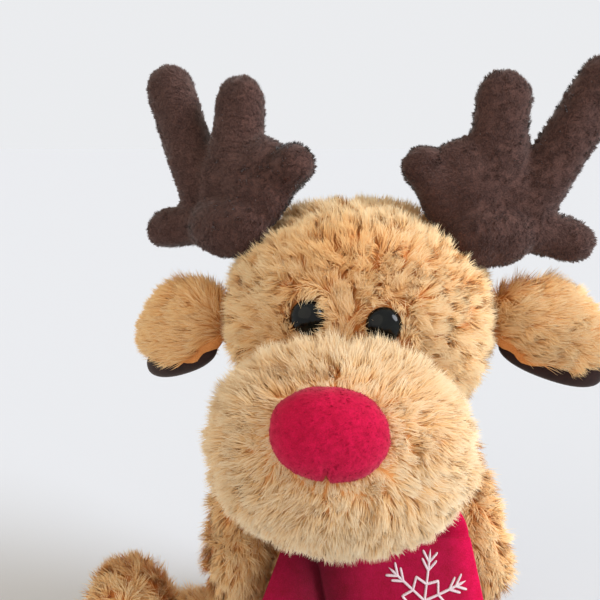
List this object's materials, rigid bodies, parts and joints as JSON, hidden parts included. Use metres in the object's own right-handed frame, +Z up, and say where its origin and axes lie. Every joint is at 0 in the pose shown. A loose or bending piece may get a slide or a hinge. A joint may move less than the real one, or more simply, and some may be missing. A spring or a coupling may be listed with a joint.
{
  "type": "plush reindeer",
  "caption": "Seated plush reindeer: long tan fur, round muzzle with a felt nose, soft brown antlers, drooping lined ears and a felt scarf with an embroidered snowflake.",
  "frame": {"origin": "on the surface that it sits on, under the middle of the torso", "axes": "+Z up; the toy faces -Y, so its own left side is at +X"},
  "size_m": [0.2448, 0.1715, 0.2815],
  "materials": {
    "tan_fur": "long-pile fur cloth, warm tan",
    "muzzle_fur": "long-pile fur cloth, paler tan",
    "brown_plush": "short dense plush, dark brown",
    "brown_velour": "flat velour, near-black brown",
    "nose_felt": "brushed felt, crimson",
    "scarf_felt": "brushed felt, deep crimson",
    "thread": "satin-stitch thread, pinkish white",
    "eye_plastic": "glossy near-black",
    "washer_plastic": "matt off-white",
    "polyester_fill": "white fibre",
    "pellet_cloth": "plain cloth bag full of plastic pellets"
  },
  "bodies": {
    "torso": {"torso_cover": "tan_fur", "torso_stuffing": "polyester_fill", "pellet_bag": "pellet_cloth", "tail": "tan_fur", "scarf_band": "scarf_felt", "scarf_crossing": "scarf_felt"},
    "neck": {"neck_stuffing": "polyester_fill"},
    "head": {"head_cover": "tan_fur", "head_stuffing": "polyester_fill", "muzzle_cover": "muzzle_fur", "muzzle_stuffing": "polyester_fill", "nose_cover": "nose_felt", "nose_stuffing": "polyester_fill", "eye_left": "eye_plastic", "eye_right": "eye_plastic", "eye_washer_left": "washer_plastic", "eye_washer_right": "washer_plastic"},
    "scarf_under": {"scarf_end_under": "scarf_felt"},
    "scarf_over": {"scarf_end_over": "scarf_felt", "snowflake_embroidery": "thread"},
    "ear_left": {"ear_left_cover": "tan_fur", "ear_left_lining": "brown_velour"},
    "antler_left": {"antler_left_cover": "brown_plush", "antler_left_stuffing": "polyester_fill"},
    "arm_left": {"arm_left_cover": "tan_fur", "arm_left_stuffing": "polyester_fill"},
    "leg_left": {"leg_left_cover": "tan_fur", "leg_left_stuffing": "polyester_fill"},
    "ear_right": {"ear_right_cover": "tan_fur", "ear_right_lining": "brown_velour"},
    "antler_right": {"antler_right_cover": "brown_plush", "antler_right_stuffing": "polyester_fill"},
    "arm_right": {"arm_right_cover": "tan_fur", "arm_right_stuffing": "polyester_fill"},
    "leg_right": {"leg_right_cover": "tan_fur", "leg_right_stuffing": "polyester_fill"}
  },
  "joints": [
    {"name": "neck_turn", "type": "hinge", "parent": "torso", "child": "neck", "pos_m": [0, 0.014, 0.1195], "axis": [0, 0, 1], "range_deg": [-15, 15], "stiffness_Nm_per_rad": 0.5},
    {"name": "neck_nod", "type": "hinge", "parent": "neck", "child": "head", "pos_m": [0, 0.014, 0.1195], "axis": [0.9914, -0.1305, 0], "range_deg": [-12, 0]},
    {"name": "scarf_under_lift", "type": "hinge", "parent": "torso", "child": "scarf_under", "pos_m": [0, -0.04, 0.078], "axis": [-1, 0, 0], "range_deg": [0, 30]},
    {"name": "scarf_over_lift", "type": "hinge", "parent": "scarf_under", "child": "scarf_over", "pos_m": [0, -0.04, 0.078], "axis": [-1, 0, 0], "range_deg": [0, 25]},
    {"name": "ear_left_flop", "type": "hinge", "parent": "head", "child": "ear_left", "pos_m": [0.07332, -0.00675, 0.16734], "axis": [-0.0084, 0.9999, 0.0097], "range_deg": [-8, 18], "stiffness_Nm_per_rad": 0.5},
    {"name": "antler_left_bend", "type": "hinge", "parent": "head", "child": "antler_left", "pos_m": [0.04923, -0.00474, 0.224], "axis": [-0.0729, 0.9958, -0.0551], "range_deg": [-8, 5], "stiffness_Nm_per_rad": 2},
    {"name": "arm_left_lift", "type": "hinge", "parent": "torso", "child": "arm_left", "pos_m": [0.04282, 0.01066, 0.10369], "axis": [0, -1, 0], "range_deg": [0, 50]},
    {"name": "leg_left_splay", "type": "hinge", "parent": "torso", "child": "leg_left", "pos_m": [0.05477, -0.02677, 0.0205], "axis": [0, 0, 1], "range_deg": [-12, 12]},
    {"name": "ear_right_flop", "type": "hinge", "parent": "head", "child": "ear_right", "pos_m": [-0.06974, 0.01209, 0.16322], "axis": [-0.6348, -0.7718, 0.037], "range_deg": [-8, 18], "stiffness_Nm_per_rad": 0.5},
    {"name": "antler_right_bend", "type": "hinge", "parent": "head", "child": "antler_right", "pos_m": [-0.04593, 0.00759, 0.22542], "axis": [-0.5456, -0.7923, 0.2731], "range_deg": [-8, 5], "stiffness_Nm_per_rad": 2},
    {"name": "arm_right_lift", "type": "hinge", "parent": "torso", "child": "arm_right", "pos_m": [-0.04282, 0.01066, 0.10369], "axis": [0, 1, 0], "range_deg": [0, 50]},
    {"name": "leg_right_splay", "type": "hinge", "parent": "torso", "child": "leg_right", "pos_m": [-0.05831, -0.00592, 0.0205], "axis": [0, 0, -1], "range_deg": [-12, 12]}
  ]
}
